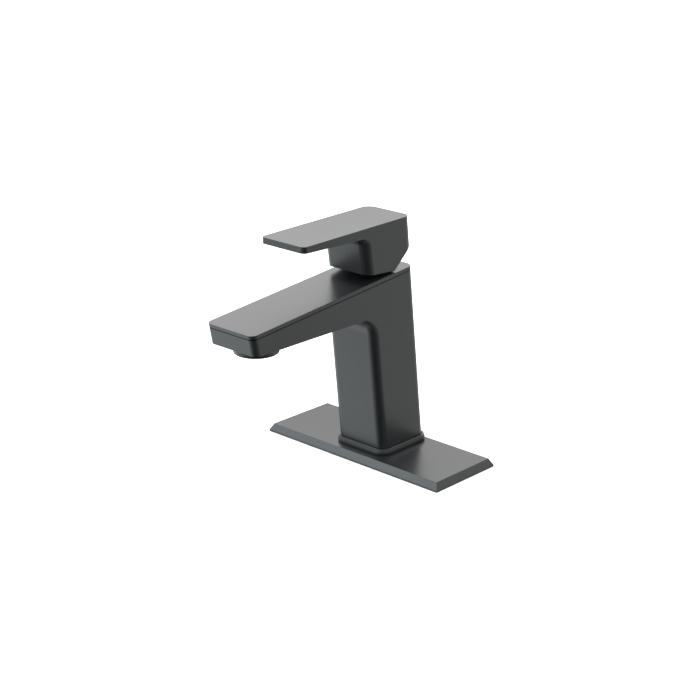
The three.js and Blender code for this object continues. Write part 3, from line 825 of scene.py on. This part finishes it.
def make_cap():
    """The dished plug over the set screw, with its rolled rim."""
    low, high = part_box("screw_cap")
    radius, length = inside_radius(low, high), 2.4
    corners = (
        # radius, height and rounding, in mm, from the middle of the back to that of the dish
        (0, 0, 0),
        (radius * 0.94, 0, 0.1),
        (radius, 0.25, 0.1),
        (radius, length, 0.22),
        (radius * 0.86, length, 0.2),
        (radius * 0.74, length - 0.35, 0.2),
        (radius * 0.4, length - 0.47, 0),
        (0, length - 0.5, 0),
    )
    piece = turned("screw_cap_finish", corners, CAP_SIDES)
    outward = seat().to_3x3() @ Vector((0, 1, 0))
    facing = UP.rotation_difference(outward).to_matrix().to_4x4()
    back = (low + high) / 2 - outward * length * MM / 2
    piece.data.transform(Matrix.Translation(back) @ facing)
    settle(smooth_with_flats(piece), "screw_cap", finish_for("satin_black"))


def make_screen(sizes):
    """The outlet's screen, woven of single wires inside a ring."""
    low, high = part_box("aerator_screen")
    thickness = high.z - low.z
    radius = (high.x - low.x - thickness) / 2
    shape, wires = woven_screen(radius, thickness, sizes.wire_pitch, sizes.wire_radius)
    screen = shape.make("outlet_screen", wires, finish_for("steel"))
    screen.data.transform(Matrix.Translation((low + high) / 2))
    screen.data.shade_smooth()
    settle(screen, "aerator_screen", finish_for("steel"))


# ------------------------------------------------------------------ stage
def make_floor(colours):
    half, level = FLOOR_HALF_WIDTH, -FLOOR_DROP
    corners = [
        (-half, -half, level), (half, -half, level), (half, half, level), (-half, half, level),
    ]
    mesh = bpy.data.meshes.new("floor")
    mesh.from_pydata(corners, [], [(0, 1, 2, 3)])
    floor = new_piece("floor", mesh)
    dress(floor, floor_finish(colours))
    # The object's lower sides reflect the dark side of the studio, and not the floor
    floor.visible_glossy = False


def make_light(name, place, aim, width, height, power):
    lamp = bpy.data.lights.new(name, "AREA")
    lamp.shape = "RECTANGLE"
    lamp.size = width
    lamp.size_y = height
    lamp.energy = power
    holder = bpy.data.objects.new(name, lamp)
    bpy.context.scene.collection.objects.link(holder)
    holder.location = place
    holder.rotation_euler = (Vector(aim) - Vector(place)).to_track_quat("-Z", "Y").to_euler()


def make_studio():
    """Soft light from all round: bright panels high in front and beside, and a dark low front."""
    world = bpy.data.worlds.new("studio")
    bpy.context.scene.world = world
    world.use_nodes = True
    world.node_tree.nodes.clear()
    graph = Graph(world.node_tree)
    aside = graph.add("ShaderNodeSeparateXYZ", None, {0: graph.add("ShaderNodeTexCoord")})
    away, up = graph.also(aside, "Y"), graph.also(aside, "Z")
    turn = CAMERA["azimuth"]
    near = aside * math.sin(turn) - away * math.cos(turn)
    right = aside * math.cos(turn) + away * math.sin(turn)

    def fade(direction, name):
        start, end = FADES[name]
        settings = {"interpolation_type": "SMOOTHSTEP", "clamp": True}
        return graph.add("ShaderNodeMapRange", settings, {0: direction, 1: start, 2: end})

    low, high = fade(up, "low"), fade(up, "high")
    on_left, on_right = fade(right, "left"), fade(right, "right")
    panel_height = fade(up, "panel_height")
    back_panel = panel_height * fade(near, "panel_back")
    front_panel = panel_height * fade(near, "panel_front")
    dark_side = fade(up, "dark_height") * fade(near, "dark_front")
    light = (
        STUDIO["walls"]
        + STUDIO["back_panel"] * back_panel
        + STUDIO["front_panel"] * front_panel
        + on_left * (STUDIO["left_card"] * low + STUDIO["left_panel"] * high)
        + on_right * (STUDIO["right_card"] * low + STUDIO["right_panel"] * high)
        - STUDIO["dark_side"] * dark_side
    )
    colour = graph.shade(WHITE_LIGHT, LEFT_LIGHT, on_left)
    sky = graph.add("ShaderNodeBackground", None, {"Color": colour, "Strength": light})
    graph.add("ShaderNodeOutputWorld", None, {"Surface": sky})


def make_camera():
    lens = bpy.data.cameras.new("camera")
    lens.lens = CAMERA["lens"]
    lens.sensor_width = CAMERA["sensor_width"]
    lens.clip_start = CAMERA["nearest"]
    lens.clip_end = CAMERA["farthest"]
    camera = bpy.data.objects.new("camera", lens)
    bpy.context.scene.collection.objects.link(camera)
    turn, rise = CAMERA["azimuth"], CAMERA["elevation"]
    back = Vector((
        math.sin(turn) * math.cos(rise),
        -math.cos(turn) * math.cos(rise),
        math.sin(rise),
    ))
    camera.location = CAMERA["aim"] + back * CAMERA["distance"]
    camera.rotation_euler = (-back).to_track_quat("-Z", "Y").to_euler()
    bpy.context.scene.camera = camera


# ------------------------------------------------------------------ operators
class MIXER_OT_carried_nodes(bpy.types.Operator):
    """Give every CAD node the finish of its material slot"""

    bl_idname = "mixer.carried_nodes"
    bl_label = "Dress the CAD nodes"

    def execute(self, context):
        for node, slot in record_slots().items():
            dress(frame["nodes"][node], finish_for(slot))
        return {"FINISHED"}


class MIXER_OT_deck(bpy.types.Operator):
    """Make the deck plate and the base flange"""

    bl_idname = "mixer.deck"
    bl_label = "Deck plate and flange"

    def execute(self, context):
        sizes = context.scene.mixer_sizes
        coating = finish_for("satin_black")
        refined("deck_plate", sizes.plate_edge, coating, angle=PLATE_SHARP_ANGLE)
        make_flange(sizes)
        return {"FINISHED"}


class MIXER_OT_body(bpy.types.Operator):
    """Make the column with its spout, and the spout's cover"""

    bl_idname = "mixer.body"
    bl_label = "Body and spout cover"

    def execute(self, context):
        sizes = context.scene.mixer_sizes
        coating = finish_for("satin_black")
        refined("body_shell", sizes.edge, coating)
        refined("spout_cover", sizes.cover_edge, coating, steps=COVER_EDGE_STEPS)
        return {"FINISHED"}


class MIXER_OT_handle(bpy.types.Operator):
    """Make the lever handle, the collar under it and its screw cap"""

    bl_idname = "mixer.handle"
    bl_label = "Lever handle, collar and cap"

    def execute(self, context):
        sizes = context.scene.mixer_sizes
        refined("lever_handle", sizes.edge, finish_for("satin_black"))
        make_collar()
        make_cap()
        return {"FINISHED"}


class MIXER_OT_outlet(bpy.types.Operator):
    """Make the outlet's housing and its woven screen"""

    bl_idname = "mixer.outlet"
    bl_label = "Outlet"

    def execute(self, context):
        make_housing()
        make_screen(context.scene.mixer_sizes)
        return {"FINISHED"}


class MIXER_OT_inner(bpy.types.Operator):
    """Break the edges of the machined and moulded pieces inside"""

    bl_idname = "mixer.inner"
    bl_label = "Cartridge, tubes and brass"

    def execute(self, context):
        sizes = context.scene.mixer_sizes
        slots = record_slots()
        for node in MACHINED:
            finish = finish_for(slots[node])
            refined(node, sizes.inner_edge, finish, steps=INNER_EDGE_STEPS)
        return {"FINISHED"}


class MIXER_OT_stage(bpy.types.Operator):
    """Set the floor, the lights, the studio and the camera"""

    bl_idname = "mixer.stage"
    bl_label = "Studio stage"

    def execute(self, context):
        make_floor(context.scene.mixer_colours)
        make_studio()
        for name, light in LIGHTS.items():
            make_light(name, **light)
        make_camera()
        context.scene.view_settings.view_transform = "Standard"
        return {"FINISHED"}


# ------------------------------------------------------------------ add-on
class MIXER_PT_panel(bpy.types.Panel):
    """The mixer's building steps, sizes and colours"""

    bl_idname = "MIXER_PT_panel"
    bl_label = "Basin Mixer"
    bl_space_type = "VIEW_3D"
    bl_region_type = "UI"
    bl_category = "Mixer"

    def draw(self, context):
        for step in STEPS:
            self.layout.operator(step.bl_idname)
        for group in (context.scene.mixer_sizes, context.scene.mixer_colours):
            for name in group.bl_rna.properties.keys():
                if name not in ("rna_type", "name"):
                    self.layout.prop(group, name)


STEPS = (
    MIXER_OT_carried_nodes,
    MIXER_OT_deck,
    MIXER_OT_body,
    MIXER_OT_handle,
    MIXER_OT_outlet,
    MIXER_OT_inner,
    MIXER_OT_stage,
)
CLASSES = (MixerSizes, MixerColours, *STEPS, MIXER_PT_panel)


def register():
    for kind in CLASSES:
        bpy.utils.register_class(kind)
    bpy.types.Scene.mixer_sizes = bpy.props.PointerProperty(type=MixerSizes)
    bpy.types.Scene.mixer_colours = bpy.props.PointerProperty(type=MixerColours)


def unregister():
    del bpy.types.Scene.mixer_colours
    del bpy.types.Scene.mixer_sizes
    for kind in reversed(CLASSES):
        bpy.utils.unregister_class(kind)


def main():
    register()
    for step in STEPS:
        family, _, action = step.bl_idname.partition(".")
        getattr(getattr(bpy.ops, family), action)()


if __name__ == "__main__":
    main()
